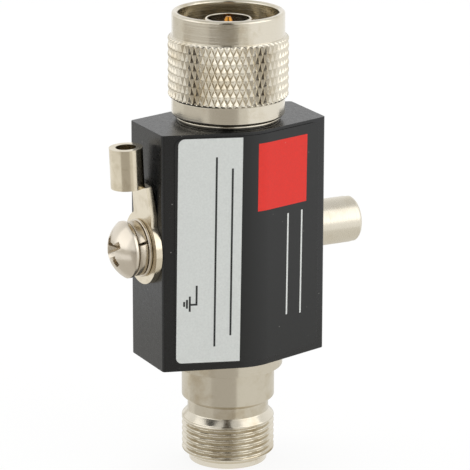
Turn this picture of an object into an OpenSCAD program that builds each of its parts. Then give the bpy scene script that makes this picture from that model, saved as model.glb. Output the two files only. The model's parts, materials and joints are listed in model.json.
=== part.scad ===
// Coaxial lightning arrestor, all sizes in millimetres.
// A block carries a coaxial line with a plug above and a jack below. A gas tube behind a screwed
// cap joins the line to the block, and a ground terminal stands on the opposite side.
// The line runs along Z, the jack's end face lies at z = 0 and the front ridge points to -Y.

/* [Block] */
// Width between the two narrow side faces
block_w = 30.5; // [26:0.1:40]
// Height along the line
block_h = 40.9; // [34:0.05:60]
// How far the front and back ridges lie outside the coupling nut's knurl
ridge_over = 0.025; // [0:0.005:0.3]
// How far the front and back ridges stand past the side faces, to their sharp corner
block_bulge = 4.45; // [3:0.01:7]
// Radius of the front and back ridges
ridge_r = 9; // [2:0.1:12]
// Radius of the four upright corners
corner_r = 0.6; // [0.2:0.05:1.5]

/* [Coaxial line] */
// Bore of the outer conductor
line_bore_d = 7; // [6.5:0.05:7.2]
// Diameter of the centre conductor
conductor_d = 3.04; // [2.6:0.02:3.4]
// Diameter of the tails that join the contacts to the centre conductor
contact_tail_d = 1.6; // [1.2:0.05:1.8]
// Length of those tails
contact_tail_l = 3; // [2:0.1:4]
// Depth of the flat on the centre conductor that the gas tube rests on
conductor_flat = 0.22; // [0.1:0.01:0.4]

/* [Plug] */
// Diameter of the shell's flange on the block
plug_flange_d = 17.8; // [16:0.1:19]
// Thickness of that flange
plug_flange_t = 0.75; // [0.6:0.05:2]
// Height of the narrower foot under the flange's rim
plug_foot_h = 0.3; // [0.2:0.05:0.5]
// How far the foot lies inside the flange's rim
plug_foot_inset = 0.35; // [0.2:0.05:0.8]
// Diameter of the neck that the coupling nut turns on
plug_neck_d = 11.2; // [10.6:0.1:11.8]
// Length of the neck above the flange
plug_neck_l = 7.4; // [6:0.1:8]
// Outside diameter of the ferrule
ferrule_d = 8; // [7.8:0.01:8.2]
// Length of the ferrule past the neck
ferrule_l = 9.1; // [8:0.1:10]
// Chamfer on the ferrule's rim
ferrule_chamfer = 0.2; // [0.1:0.05:0.3]
// Diameter of the spigot that sits in the block
plug_spigot_d = 12; // [11:0.1:13]
// Length of that spigot
plug_spigot_l = 6; // [5:0.1:7]
// Length of the plug's insulator
plug_insulator_l = 5.5; // [4.5:0.1:7]
// How far the insulator lies below the neck's end
plug_insulator_recess = 0.9; // [0.5:0.1:1.5]
// Diameter of the pin's tip
pin_d = 1.66; // [1.5:0.02:1.8]
// Length of the pin's tip
pin_l = 5.5; // [4.5:0.1:6.5]
// How far the tip stands past the ferrule's rim
pin_reach = 0.2; // [-1:0.1:0.8]

/* [Coupling nut] */
// Diameter of the plain collar next to the block
nut_collar_d = 19.05; // [18.4:0.05:19.6]
// Length of that collar
nut_collar_l = 3.05; // [2.5:0.05:4]
// Diameter over the knurl
knurl_d = 20.3; // [20:0.05:21]
// Length of the knurled band
knurl_l = 10.5; // [8:0.05:12]
// Number of diamonds round the knurl
knurl_count = 58; // [40:1:72]
// Number of diamonds along the knurl
knurl_rows = 3.5; // [2.5:0.5:5.5]
// Depth of the knurl's grooves
knurl_depth = 0.44; // [0.2:0.01:0.55]
// Diameter of the plain band at the mouth
nut_band_d = 18.95; // [18.4:0.05:19.6]
// Length of that band
nut_band_l = 4.05; // [3:0.05:5]
// Thickness of the wall that holds the nut on the neck
nut_wall_t = 2; // [1.5:0.05:2.4]
// Minor diameter of the nut's thread
nut_thread_d = 14.75; // [14.5:0.05:15.2]
// Diameter of the plain bore at the mouth
nut_mouth_d = 16.8; // [15.8:0.05:17]
// Depth of that bore
nut_mouth_l = 3.4; // [2.5:0.1:4.5]
// Chamfer on the nut's rims
nut_chamfer = 0.3; // [0.2:0.05:0.5]
// Outside diameter of the snap ring that keeps the nut on
snap_ring_d = 13.6; // [13:0.1:14]
// Thickness of the snap ring
snap_ring_t = 1; // [0.8:0.05:1.2]
// Depth of the ring's groove in the neck
snap_groove = 0.6; // [0.4:0.05:0.8]
// Width of the gap in the snap ring
snap_ring_gap = 2; // [1:0.1:4]
// Outside diameter of the face gasket
gasket_d = 12.4; // [12:0.1:13]
// Thickness of the face gasket
gasket_t = 1.5; // [1:0.1:2]
// Inside diameter of the face gasket
gasket_bore = 9.8; // [9.7:0.05:10.2]
// Height of the low ring that centres the gasket
gasket_stop = 0.3; // [0.2:0.05:0.6]

/* [Jack] */
// Diameter of the shell's flange under the block
jack_flange_d = 18.7; // [17:0.1:19.5]
// Thickness of that flange
jack_flange_t = 2.1; // [1.8:0.05:4]
// Diameter of the plain barrel
jack_barrel_d = 15.9; // [15.4:0.05:16.4]
// Length of the plain barrel
jack_barrel_l = 5.3; // [4:0.1:9]
// Diameter of the groove behind the thread
jack_groove_d = 13.9; // [13:0.1:14.6]
// Length of that groove
jack_groove_l = 1.9; // [1:0.1:3]
// Outside diameter of the thread
jack_thread_d = 15.875; // [15.5:0.025:16]
// Length of the thread
jack_thread_l = 6.05; // [4.5:0.05:8]
// Diameter of the lead in front of the thread
jack_lead_d = 13.45; // [12.8:0.05:14.4]
// Length of the lead
jack_lead_l = 0.9; // [0.5:0.05:2]
// Length of the cone between lead and thread
jack_lead_cone = 0.95; // [0.5:0.05:1.5]
// Length of the cone between thread and groove
jack_thread_cone = 1.1; // [0.5:0.05:1.5]
// Length of the cone between groove and barrel
jack_barrel_cone = 0.7; // [0.4:0.05:1.2]
// Height of the chamfer under the flange
jack_flange_cone = 0.35; // [0.2:0.05:0.8]
// Bore that takes the ferrule of the mating plug
jack_mouth_d = 8.3; // [8.2:0.05:9]
// Depth of that bore
jack_mouth_l = 9.1; // [8:0.1:10.5]
// Diameter of the spigot that sits in the block
jack_spigot_d = 14; // [12:0.1:15]
// Length of that spigot
jack_spigot_l = 5; // [4:0.1:6]
// Length of the jack's insulator
jack_insulator_l = 8; // [6.5:0.1:10]
// How far the socket's end lies inside the jack
socket_recess = 4.6; // [3.5:0.1:6]
// How far the socket goes into the insulator
socket_hold = 4.9; // [4:0.1:6]
// Bore of the socket
socket_bore_d = 1.7; // [1.5:0.02:1.9]
// Depth of the socket's bore
socket_bore_l = 6; // [5:0.1:7]
// Width of the slots between the socket's fingers
socket_slot = 0.35; // [0.2:0.05:0.5]
// Length of those slots
socket_slot_l = 4; // [3:0.1:5]

/* [Gas tube] */
// Diameter of the tube's electrodes
tube_d = 5.5; // [4.5:0.1:5.8]
// Length of the whole tube
tube_l = 6; // [5:0.1:7]
// Thickness of each electrode
electrode_t = 0.9; // [0.5:0.05:1.4]
// How far the ceramic lies inside the electrodes' rim
ceramic_inset = 0.15; // [0.05:0.05:0.4]
// Wire diameter of the contact spring
spring_wire = 0.5; // [0.3:0.05:0.6]
// Turns of the contact spring
spring_turns = 4; // [2:0.5:5]
// Diameter of the cap
cap_d = 8; // [7.6:0.1:9]
// How far the cap stands out of the block
cap_reach = 8.9; // [4:0.1:12]
// Length of the cap's thread in the block
cap_thread_l = 6; // [5:0.1:6.5]
// Depth of the hollow in the cap
cap_hollow_l = 4; // [3.5:0.1:4.3]
// Chamfer on the cap's outer end
cap_chamfer = 0.5; // [0.2:0.05:1]
// Width of the driver slot in the cap's end
cap_slot = 1.2; // [0.8:0.1:2]
// Depth of that slot
cap_slot_l = 1.1; // [0.6:0.1:2]

/* [Ground terminal] */
// Diameter of the ground screw
screw_d = 5; // [4:0.1:5.4]
// Length of thread in the block
screw_reach = 8; // [6:0.1:9]
// Diameter of the screw's head
screw_head_d = 9.7; // [9:0.1:11]
// Height of the screw's head
screw_head_h = 3.35; // [2.2:0.05:4]
// Height of the straight rim of the head
screw_rim_h = 0.8; // [0.4:0.05:1.4]
// Chamfer under that rim
screw_rim_chamfer = 0.35; // [0.1:0.05:0.4]
// Length across the mouth of the cross recess
recess_l = 5.5; // [3.6:0.1:6]
// Width of the arms of the cross recess
recess_w = 1.2; // [0.8:0.05:1.5]
// Diameter of the round hollow in the middle of the cross
recess_hollow_d = 3.2; // [2:0.1:3.6]
// Depth of the cross recess
recess_depth = 2.3; // [1.2:0.05:2.5]
// Turn of the cross recess about the screw
recess_turn = 36; // [0:1:89]
// Diameter of the split lock washer
lock_washer_d = 9.24; // [8.6:0.02:10]
// Thickness of the split lock washer
lock_washer_t = 1.5; // [0.8:0.05:1.6]
// Width of the slit in the lock washer
lock_slit = 0.3; // [0.3:0.05:1]
// Slant of the slit
lock_slant = 10; // [5:1:40]
// Turn of the slit up from the front
lock_turn = 25; // [0:1:60]
// Diameter of the flat washer
flat_washer_d = 9.8; // [9.4:0.1:10.4]
// Thickness of the flat washer
flat_washer_t = 0.55; // [0.5:0.05:1.2]
// Thickness of the lug's sheet
lug_t = 1.1; // [0.8:0.05:1.3]
// Diameter of the lug's ring
lug_ring_d = 12.4; // [11.4:0.1:13.6]
// Width of the lug's neck at the bend
lug_neck_w = 6.9; // [5.8:0.1:7.6]
// Width of the neck's upper end
lug_top_w = 5.3; // [4.4:0.1:5.6]
// How far the neck's middle lies before the screw
lug_shift = 0.75; // [0:0.05:0.9]
// Height above the screw at which the neck bends away from the block
lug_bend = 6.2; // [5.3:0.05:7]
// Angle by which the neck leans away from the block
lug_lean = 7; // [4:0.5:12]
// Outside diameter of the crimp barrel
barrel_d = 5.66; // [5:0.02:6]
// Length of the crimp barrel
barrel_l = 6.9; // [6:0.1:9]
// Height of the barrel's lower end above the screw
barrel_up = 10.75; // [9.4:0.05:12]
// Angle by which the barrel leans away from the block
barrel_lean = 2.5; // [0:0.5:6]

/* [Label] */
// Width of the label across the front
label_w = 27; // [20:0.1:27.5]
// Height of the label
label_h = 39.2; // [30:0.1:39.6]
// How far the label's middle lies above the block's
label_rise = 0.3; // [0:0.05:0.4]
// How far the label's middle lies right of the ridge
label_shift = 0.2; // [-0.5:0.05:0.5]
// Thickness of the label
label_t = 0.15; // [0.1:0.01:0.25]
// Radius of the label's corners
label_r = 1.5; // [0.5:0.1:3]

/* [Fits] */
// Gap round pieces that are pressed or screwed together
seat_fit = 0.03; // [0.02:0.005:0.05]
// Gap round the two threads that come undone
thread_fit = 0.05; // [0.03:0.005:0.08]
// Gap round pieces that turn or slide
run_fit = 0.15; // [0.1:0.01:0.2]
// Gap between faces that lie on each other and come apart
face_gap = 0.05; // [0.02:0.01:0.08]
// Room left at the bottom of blind bores
bore_room = 0.8; // [0.4:0.1:1.2]
// Cord diameter of the three sealing rings
seal_cord = 0.8; // [0.6:0.05:0.9]

/* [Hidden] */
$fn = 96;
over = 1;

// Heights along the line, from the jack's end face upward
jack_cone_z = jack_lead_l;
jack_thread_z = jack_cone_z + jack_lead_cone;
jack_groove_cone_z = jack_thread_z + jack_thread_l;
jack_groove_z = jack_groove_cone_z + jack_thread_cone;
jack_barrel_cone_z = jack_groove_z + jack_groove_l;
jack_barrel_z = jack_barrel_cone_z + jack_barrel_cone;
jack_flange_cone_z = jack_barrel_z + jack_barrel_l;
jack_flange_z = jack_flange_cone_z + jack_flange_cone;
block_z = jack_flange_z + jack_flange_t;
block_mid = block_z + block_h / 2;
block_top = block_z + block_h;
plug_neck_z = block_top + plug_flange_t;
nut_z = plug_neck_z + run_fit;
snap_z = nut_z + nut_wall_t + run_fit;
nut_knurl_z = nut_z + nut_collar_l;
nut_band_z = nut_knurl_z + knurl_l;
nut_top = nut_band_z + nut_band_l;
plug_shoulder_z = plug_neck_z + plug_neck_l;
ferrule_z = plug_shoulder_z + ferrule_l;
pin_top = ferrule_z + pin_reach;
pin_step_z = pin_top - pin_l;
plug_insulator_top = plug_shoulder_z - plug_insulator_recess;
plug_joint_z = plug_insulator_top - plug_insulator_l / 2;
socket_top = jack_mouth_l + socket_hold;

// Seats in the block and the rings that seal them
plug_seat_d = plug_spigot_d + 2 * seat_fit;
jack_seat_d = jack_spigot_d + 2 * seat_fit;
cap_seat_d = cap_d + 2 * thread_fit;
plug_seal_z = block_top - plug_spigot_l / 3;
jack_seal_z = block_z + jack_spigot_l / 3;

// Block outline
facet_tilt = atan(block_bulge / (block_w / 2));
half_depth = knurl_d / 2 + ridge_over + ridge_r * (1 / cos(facet_tilt) - 1);
ridge_round = min(ridge_r, 0.94 * half_depth * cos(facet_tilt));

// Places along X of the gas tube and its cap
side_x = block_w / 2;
tube_x = conductor_d / 2 - conductor_flat;
tube_end = tube_x + tube_l;
cap_x = side_x - cap_thread_l;
cap_end = side_x + cap_reach;
cap_floor = cap_x + cap_hollow_l;
tube_bore = tube_d + 2 * run_fit;
cap_seal_x = side_x - bore_room - seal_cord / 2;

// Heights off the side face of the pieces of the ground terminal
flat_washer_off = 2 * face_gap + lug_t;
lock_washer_off = flat_washer_off + flat_washer_t + face_gap;
screw_head_off = lock_washer_off + lock_washer_t + face_gap;
lug_hole = screw_d + 4 * run_fit;
lug_rise = (barrel_up - lug_bend) * tan(lug_lean);
barrel_axis_off = face_gap + lug_rise + barrel_d / 2;

// Colours
black_paint = "#232427";
nickel = "#cdc5b4";
gold = "#c9a24a";
white_plastic = "#ecebe6";
black_rubber = "#2a2a2a";
spring_steel = "#a9a9a6";
label_grey = "#cbcfcc";

function unit(v) = v / norm(v);
function half_angle(a, p, b) = acos(unit(a - p) * unit(b - p)) / 2;
// Point on the edge p-a where a round of radius r in corner p ends
function round_end(a, p, b, r) = p + unit(a - p) * r / tan(half_angle(a, p, b));
// Centre of the round of radius r in corner p between the edges to a and b
function round_centre(a, p, b, r) = p + unit(unit(a - p) + unit(b - p)) * r / sin(half_angle(a, p, b));
// Corner of the block's outline number i, with the outline moved outward by grow
function block_corners(grow) =
    let (x = block_w / 2 + grow, ridge = half_depth + grow / cos(facet_tilt))
    let (y = ridge - x * tan(facet_tilt))
    [[-x, -y], [0, -ridge], [x, -y], [x, y], [0, ridge], [-x, y]];

// Convex outline with a round of its own in each corner
module rounded_polygon(corners, radii) {
    n = len(corners);
    polygon([
        for (i = [0:n - 1])
            let (a = corners[(i + n - 1) % n], p = corners[i], b = corners[(i + 1) % n])
            each [round_end(a, p, b, radii[i]), round_end(b, p, a, radii[i])]
    ]);
    for (i = [0:n - 1])
        translate(round_centre(corners[(i + n - 1) % n], corners[i], corners[(i + 1) % n], radii[i]))
            circle(radii[i]);
}

// Outline of the block seen along the line, moved outward by grow
module block_outline(grow = 0) {
    side = corner_r + grow;
    ridge = ridge_round + grow;
    rounded_polygon(block_corners(grow), [side, ridge, side, side, ridge, side]);
}

// Solid of revolution about Z through [radius, height] points
module turned(points) {
    rotate_extrude() polygon(points);
}

// Round bar or bore about Z between two heights
module bar(d, from, to) {
    translate([0, 0, from]) cylinder(d = d, h = to - from);
}

// Tube about Z between two heights
module tube(d, bore, from, to) {
    difference() {
        bar(d, from, to);
        bar(bore, from - over, to + over);
    }
}

// Sealing ring that fills a groove round a bar, just inside a bore
module seal_ring(bore_d, z) {
    translate([0, 0, z]) rotate_extrude()
        translate([bore_d / 2 - seal_cord / 2 - seat_fit, 0]) circle(d = seal_cord, $fn = 32);
}

// Groove for such a ring
module seal_groove(bore_d, z) {
    width = seal_cord + 2 * face_gap;
    tube(bore_d + over, bore_d - 2 * seal_cord - 4 * seat_fit, z - width / 2, z + width / 2);
}

// Places children on the ground terminal's side: their Z points away from the block and their X up
module on_ground_side() {
    translate([-side_x, 0, block_mid]) rotate([0, -90, 0]) children();
}

// Places children on the gas tube's axis: their Z points out of the block from the line
module on_tube_axis() {
    translate([0, 0, block_mid]) rotate([0, 90, 0]) children();
}

module body_block() {
    color(black_paint) difference() {
        translate([0, 0, block_z]) linear_extrude(block_h) block_outline();
        bar(line_bore_d, block_z - over, block_top + over);
        bar(plug_seat_d, block_top - plug_spigot_l - face_gap, block_top + over);
        bar(jack_seat_d, block_z - over, block_z + jack_spigot_l + face_gap);
        on_tube_axis() {
            bar(tube_bore, 0, cap_x);
            bar(cap_seat_d, cap_x - face_gap, side_x + over);
        }
        on_ground_side() bar(screw_d + 2 * thread_fit, -screw_reach - bore_room, over);
    }
}

// Thin sheet that wraps the front ridge
module label() {
    half_front = half_depth + over;
    color(label_grey) intersection() {
        translate([0, 0, block_z]) linear_extrude(block_h) difference() {
            block_outline(seat_fit + label_t);
            block_outline(seat_fit);
        }
        translate([label_shift, 0, block_mid + label_rise]) rotate([90, 0, 0]) linear_extrude(half_front)
            rounded_polygon([
                [-label_w / 2, -label_h / 2], [label_w / 2, -label_h / 2],
                [label_w / 2, label_h / 2], [-label_w / 2, label_h / 2]
            ], [label_r, label_r, label_r, label_r]);
    }
}

module plug_shell() {
    flange_r = plug_flange_d / 2;
    neck_r = plug_neck_d / 2;
    groove_r = neck_r - snap_groove;
    groove_top = snap_z + snap_ring_t + face_gap;
    stop_r = gasket_bore / 2 - seat_fit;
    color(nickel) difference() {
        turned([
            [line_bore_d / 2, block_top - plug_spigot_l], [plug_spigot_d / 2, block_top - plug_spigot_l],
            [plug_spigot_d / 2, block_top], [flange_r - plug_foot_inset, block_top],
            [flange_r - plug_foot_inset, block_top + plug_foot_h], [flange_r, block_top + plug_foot_h],
            [flange_r, plug_neck_z], [neck_r, plug_neck_z],
            [neck_r, snap_z - face_gap], [groove_r, snap_z - face_gap],
            [groove_r, groove_top], [neck_r, groove_top],
            [neck_r, plug_shoulder_z], [stop_r, plug_shoulder_z],
            [stop_r, plug_shoulder_z + gasket_stop], [ferrule_d / 2, plug_shoulder_z + gasket_stop],
            [ferrule_d / 2, ferrule_z - ferrule_chamfer], [ferrule_d / 2 - ferrule_chamfer, ferrule_z],
            [line_bore_d / 2, ferrule_z]
        ]);
        seal_groove(plug_seat_d, plug_seal_z);
    }
}

module plug_seal() {
    color(black_rubber) seal_ring(plug_seat_d, plug_seal_z);
}

// Diamond-knurled band about Z: pyramids between two crossing sets of grooves, with chamfered ends
module knurled_band(d, bore, from, to) {
    around = 2 * knurl_count;
    rows = round(2 * knurl_rows);
    step = 360 / around;
    rise = (to - from - 2 * knurl_depth) / rows;
    heights = [from, for (j = [0:rows]) from + knurl_depth + j * rise, to];
    ends = rows + 2;
    // Peaks alternate with groove crossings round each row and from row to row, and both ends are low
    skin = [
        for (j = [0:ends]) for (i = [0:around - 1])
            let (peak = (i + j) % 2 == 0 && j > 0 && j < ends, r = d / 2 - (peak ? 0 : knurl_depth))
            [r * cos(i * step), r * sin(i * step), heights[j]]
    ];
    inside = [
        for (z = [from, to]) for (i = [0:around - 1])
            [bore / 2 * cos(i * step), bore / 2 * sin(i * step), z]
    ];
    low = len(skin);
    high = low + around;
    last = ends * around;
    // Index of the next point round the band
    function next(i) = (i + 1) % around;
    polyhedron(points = concat(skin, inside), faces = concat(
        [for (j = [0:ends - 1]) for (i = [0:around - 1])
            let (a = j * around + i, b = j * around + next(i), c = a + around, e = b + around)
            each (i + j) % 2 == 1 ? [[a, c, e], [a, e, b]] : [[a, c, b], [b, c, e]]],
        [for (i = [0:around - 1]) [low + i, low + next(i), high + next(i), high + i]],
        [for (i = [0:around - 1]) [low + i, i, next(i), low + next(i)]],
        [for (i = [0:around - 1]) [high + i, high + next(i), last + next(i), last + i]]
    ));
}

module coupling_nut() {
    collar_r = nut_collar_d / 2;
    band_r = nut_band_d / 2;
    mouth_r = nut_mouth_d / 2;
    neck_bore = plug_neck_d / 2 + run_fit;
    core_r = min(collar_r, band_r);
    color(nickel) {
        turned([
            [neck_bore, nut_z], [collar_r - nut_chamfer, nut_z], [collar_r, nut_z + nut_chamfer],
            [collar_r, nut_knurl_z], [core_r, nut_knurl_z], [core_r, nut_band_z], [band_r, nut_band_z],
            [band_r, nut_top - nut_chamfer], [band_r - nut_chamfer, nut_top],
            [mouth_r + nut_chamfer, nut_top], [mouth_r, nut_top - nut_chamfer],
            [mouth_r, nut_top - nut_mouth_l], [nut_thread_d / 2, nut_top - nut_mouth_l],
            [nut_thread_d / 2, nut_z + nut_wall_t], [neck_bore, nut_z + nut_wall_t]
        ]);
        knurled_band(knurl_d, (nut_mouth_d + 2 * core_r) / 2, nut_knurl_z, nut_band_z);
    }
}

module nut_snap_ring() {
    bore = plug_neck_d - 2 * snap_groove + 2 * seat_fit;
    color(spring_steel) difference() {
        tube(snap_ring_d, bore, snap_z, snap_z + snap_ring_t);
        translate([0, -snap_ring_gap / 2, snap_z - over])
            cube([snap_ring_d, snap_ring_gap, snap_ring_t + 2 * over]);
    }
}

module plug_gasket() {
    color(black_rubber)
        tube(gasket_d, gasket_bore, plug_shoulder_z, plug_shoulder_z + gasket_t);
}

// White bead between the line's inner and outer conductors
module bead(from, to) {
    color(white_plastic) tube(line_bore_d - 2 * seat_fit, conductor_d + 2 * seat_fit, from, to);
}

module plug_insulator() {
    bead(plug_insulator_top - plug_insulator_l, plug_insulator_top);
}

module plug_pin() {
    tip_r = pin_d / 2;
    color(gold) {
        bar(contact_tail_d, plug_joint_z - contact_tail_l, plug_joint_z + over);
        turned([
            [0, plug_joint_z], [conductor_d / 2, plug_joint_z], [conductor_d / 2, pin_step_z],
            [tip_r, pin_step_z], [tip_r, pin_top - tip_r], [tip_r / 2, pin_top], [0, pin_top]
        ]);
    }
}

module line_conductor() {
    tail_bore = contact_tail_d + 2 * seat_fit;
    flat_l = tube_bore;
    color(gold) difference() {
        bar(conductor_d, socket_top, plug_joint_z);
        bar(tail_bore, socket_top - over, socket_top + contact_tail_l + bore_room);
        bar(tail_bore, plug_joint_z - contact_tail_l - bore_room, plug_joint_z + over);
        translate([tube_x - face_gap, -conductor_d, block_mid - flat_l / 2])
            cube([conductor_d, 2 * conductor_d, flat_l]);
    }
}

module jack_shell() {
    thread_r = jack_thread_d / 2;
    groove_r = jack_groove_d / 2;
    barrel_r = jack_barrel_d / 2;
    color(nickel) difference() {
        turned([
            [jack_mouth_d / 2, 0], [jack_lead_d / 2, 0], [jack_lead_d / 2, jack_cone_z],
            [thread_r, jack_thread_z], [thread_r, jack_groove_cone_z],
            [groove_r, jack_groove_z], [groove_r, jack_barrel_cone_z],
            [barrel_r, jack_barrel_z], [barrel_r, jack_flange_cone_z],
            [jack_flange_d / 2, jack_flange_z], [jack_flange_d / 2, block_z],
            [jack_spigot_d / 2, block_z], [jack_spigot_d / 2, block_z + jack_spigot_l],
            [line_bore_d / 2, block_z + jack_spigot_l], [line_bore_d / 2, jack_mouth_l],
            [jack_mouth_d / 2, jack_mouth_l]
        ]);
        seal_groove(jack_seat_d, jack_seal_z);
    }
}

module jack_seal() {
    color(black_rubber) seal_ring(jack_seat_d, jack_seal_z);
}

module jack_insulator() {
    bead(jack_mouth_l, jack_mouth_l + jack_insulator_l);
}

// Slotted socket with four spring fingers
module jack_socket() {
    color(gold) difference() {
        union() {
            bar(conductor_d, socket_recess, socket_top);
            bar(contact_tail_d, socket_top - over, socket_top + contact_tail_l);
        }
        bar(socket_bore_d, socket_recess - over, socket_recess + socket_bore_l);
        for (turn = [0, 90])
            rotate([0, 0, turn])
                translate([-conductor_d, -socket_slot / 2, socket_recess - over])
                    cube([2 * conductor_d, socket_slot, socket_slot_l + over]);
    }
}

module gas_tube_ceramic() {
    color(white_plastic) on_tube_axis()
        tube(tube_d - 2 * ceramic_inset, tube_d / 2, tube_x + electrode_t, tube_end - electrode_t);
}

// Metal end of the gas tube, a disc between two places on its axis
module electrode(from, to) {
    color(nickel) on_tube_axis() bar(tube_d, from, to);
}

module gas_tube_inner_electrode() {
    electrode(tube_x, tube_x + electrode_t);
}

module gas_tube_outer_electrode() {
    electrode(tube_end - electrode_t, tube_end);
}

// Helical spring between the gas tube and the cap
module gas_tube_spring() {
    sides = 8;
    per_turn = 20;
    wire_r = spring_wire / 2;
    coil_r = tube_d / 2 - wire_r - run_fit;
    start = tube_end + face_gap + wire_r;
    rise = cap_floor - face_gap - wire_r - start;
    last = round(spring_turns * per_turn);
    points = [
        for (k = [0:last]) for (s = [0:sides - 1])
            let (turn = 360 * k / per_turn, around = 360 * s / sides, r = coil_r + wire_r * cos(around))
            [r * cos(turn), r * sin(turn), start + rise * k / last + wire_r * sin(around)]
    ];
    color(spring_steel) on_tube_axis() polyhedron(points = points, faces = concat(
        [for (k = [0:last - 1]) for (s = [0:sides - 1])
            let (a = k * sides + s, b = k * sides + (s + 1) % sides)
            each [[a, b, b + sides], [a, b + sides, a + sides]]],
        [[for (s = [sides - 1:-1:0]) s]],
        [[for (s = [0:sides - 1]) last * sides + s]]
    ));
}

module gas_tube_cap() {
    cap_r = cap_d / 2;
    color(nickel) on_tube_axis() difference() {
        turned([
            [0, cap_floor], [tube_bore / 2, cap_floor], [tube_bore / 2, cap_x], [cap_r, cap_x],
            [cap_r, cap_end - cap_chamfer], [cap_r - cap_chamfer, cap_end], [0, cap_end]
        ]);
        seal_groove(cap_seat_d, cap_seal_x);
        translate([-cap_d, -cap_slot / 2, cap_end - cap_slot_l])
            cube([2 * cap_d, cap_slot, cap_slot_l + over]);
    }
}

module gas_tube_cap_seal() {
    color(black_rubber) on_tube_axis() seal_ring(cap_seat_d, cap_seal_x);
}

// Cone that stands on z = 0 and has diameter d at height mouth, for the recess
module recess_cone(d_floor, d, mouth) {
    h = recess_depth + over;
    cylinder(d1 = d_floor, d2 = d_floor + (d - d_floor) * h / mouth, h = h);
}

// Cross recess with a round hollow in its middle, narrowing from its mouth to its floor at z = 0
module cross_recess(mouth) {
    intersection() {
        for (turn = [0, 90])
            rotate([0, 0, turn]) translate([-recess_l, -recess_w / 2, 0])
                cube([2 * recess_l, recess_w, recess_depth + over]);
        recess_cone(recess_l / 2, recess_l, mouth);
    }
    recess_cone(recess_w, recess_hollow_d, recess_depth);
}

module ground_screw() {
    dome_h = screw_head_h - screw_rim_h;
    dome_r = (pow(screw_head_d / 2, 2) + pow(dome_h, 2)) / (2 * dome_h);
    head_top = screw_head_off + screw_head_h;
    head_r = screw_head_d / 2;
    mouth_drop = dome_r - sqrt(pow(dome_r, 2) - pow(recess_l / 2, 2));
    color(nickel) on_ground_side() difference() {
        union() {
            bar(screw_d, -screw_reach, screw_head_off + over);
            intersection() {
                turned([
                    [0, screw_head_off], [head_r - screw_rim_chamfer, screw_head_off],
                    [head_r, screw_head_off + screw_rim_chamfer], [head_r, head_top], [0, head_top]
                ]);
                translate([0, 0, head_top - dome_r]) sphere(r = dome_r);
            }
        }
        translate([0, 0, head_top - recess_depth]) rotate([0, 0, recess_turn])
            cross_recess(recess_depth - mouth_drop);
    }
}

module ground_lock_washer() {
    bore = screw_d + 2 * run_fit;
    color(spring_steel) on_ground_side() difference() {
        tube(lock_washer_d, bore, lock_washer_off, lock_washer_off + lock_washer_t);
        rotate([0, 0, lock_turn])
            translate([0, -lock_washer_d / 2, lock_washer_off + lock_washer_t / 2])
                rotate([0, -lock_slant, 0])
                    cube([lock_slit, lock_washer_d - bore / 2, 4 * lock_washer_t], center = true);
    }
}

module ground_flat_washer() {
    color(nickel) on_ground_side()
        tube(flat_washer_d, screw_d + 2 * run_fit, flat_washer_off, flat_washer_off + flat_washer_t);
}

// Flat outline of the lug: ring, and a neck that narrows from the bend up to the barrel
module lug_blank() {
    neck_half = lug_neck_w / 2;
    top_half = lug_top_w / 2;
    circle(d = lug_ring_d);
    translate([0, -lug_shift]) polygon([
        [0, -neck_half], [lug_bend, -neck_half], [barrel_up + lug_t, -top_half],
        [barrel_up + lug_t, top_half], [lug_bend, neck_half], [0, neck_half]
    ]);
}

// Side view of the lug's sheet: flat on the block, then leaning away from it
module lug_sheet_side() {
    low = -lug_ring_d;
    high = barrel_up + lug_t / 2;
    rise = (high - lug_bend) * tan(lug_lean);
    polygon([
        [low, face_gap], [lug_bend, face_gap], [high, face_gap + rise],
        [high - lug_t * sin(lug_lean), face_gap + rise + lug_t * cos(lug_lean)],
        [lug_bend - lug_t * tan(lug_lean / 2), face_gap + lug_t], [low, face_gap + lug_t]
    ]);
}

// Places children on the crimp barrel's axis, from its lower end upward
module on_barrel_axis() {
    translate([-side_x - barrel_axis_off, 0, block_mid + barrel_up]) rotate([0, -barrel_lean, 0]) children();
}

module ground_lug() {
    color(nickel) difference() {
        union() {
            on_ground_side() intersection() {
                rotate([90, 0, 0]) linear_extrude(2 * lug_ring_d, center = true) lug_sheet_side();
                linear_extrude(lug_ring_d) lug_blank();
            }
            on_barrel_axis() bar(barrel_d, 0, barrel_l);
        }
        on_ground_side() bar(lug_hole, -over, lug_t + over);
        on_barrel_axis() bar(barrel_d - 2 * lug_t, 0, barrel_l + over);
    }
}

body_block();
label();
plug_shell();
plug_seal();
coupling_nut();
nut_snap_ring();
plug_gasket();
plug_insulator();
plug_pin();
line_conductor();
jack_shell();
jack_seal();
jack_insulator();
jack_socket();
gas_tube_ceramic();
gas_tube_inner_electrode();
gas_tube_outer_electrode();
gas_tube_spring();
gas_tube_cap();
gas_tube_cap_seal();
ground_screw();
ground_lock_washer();
ground_flat_washer();
ground_lug();
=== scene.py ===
"""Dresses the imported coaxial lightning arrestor: plated metal, painted block and printed label."""
import json
import math

import bmesh
import bpy
from mathutils import Matrix, Vector
from mathutils.bvhtree import BVHTree


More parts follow.
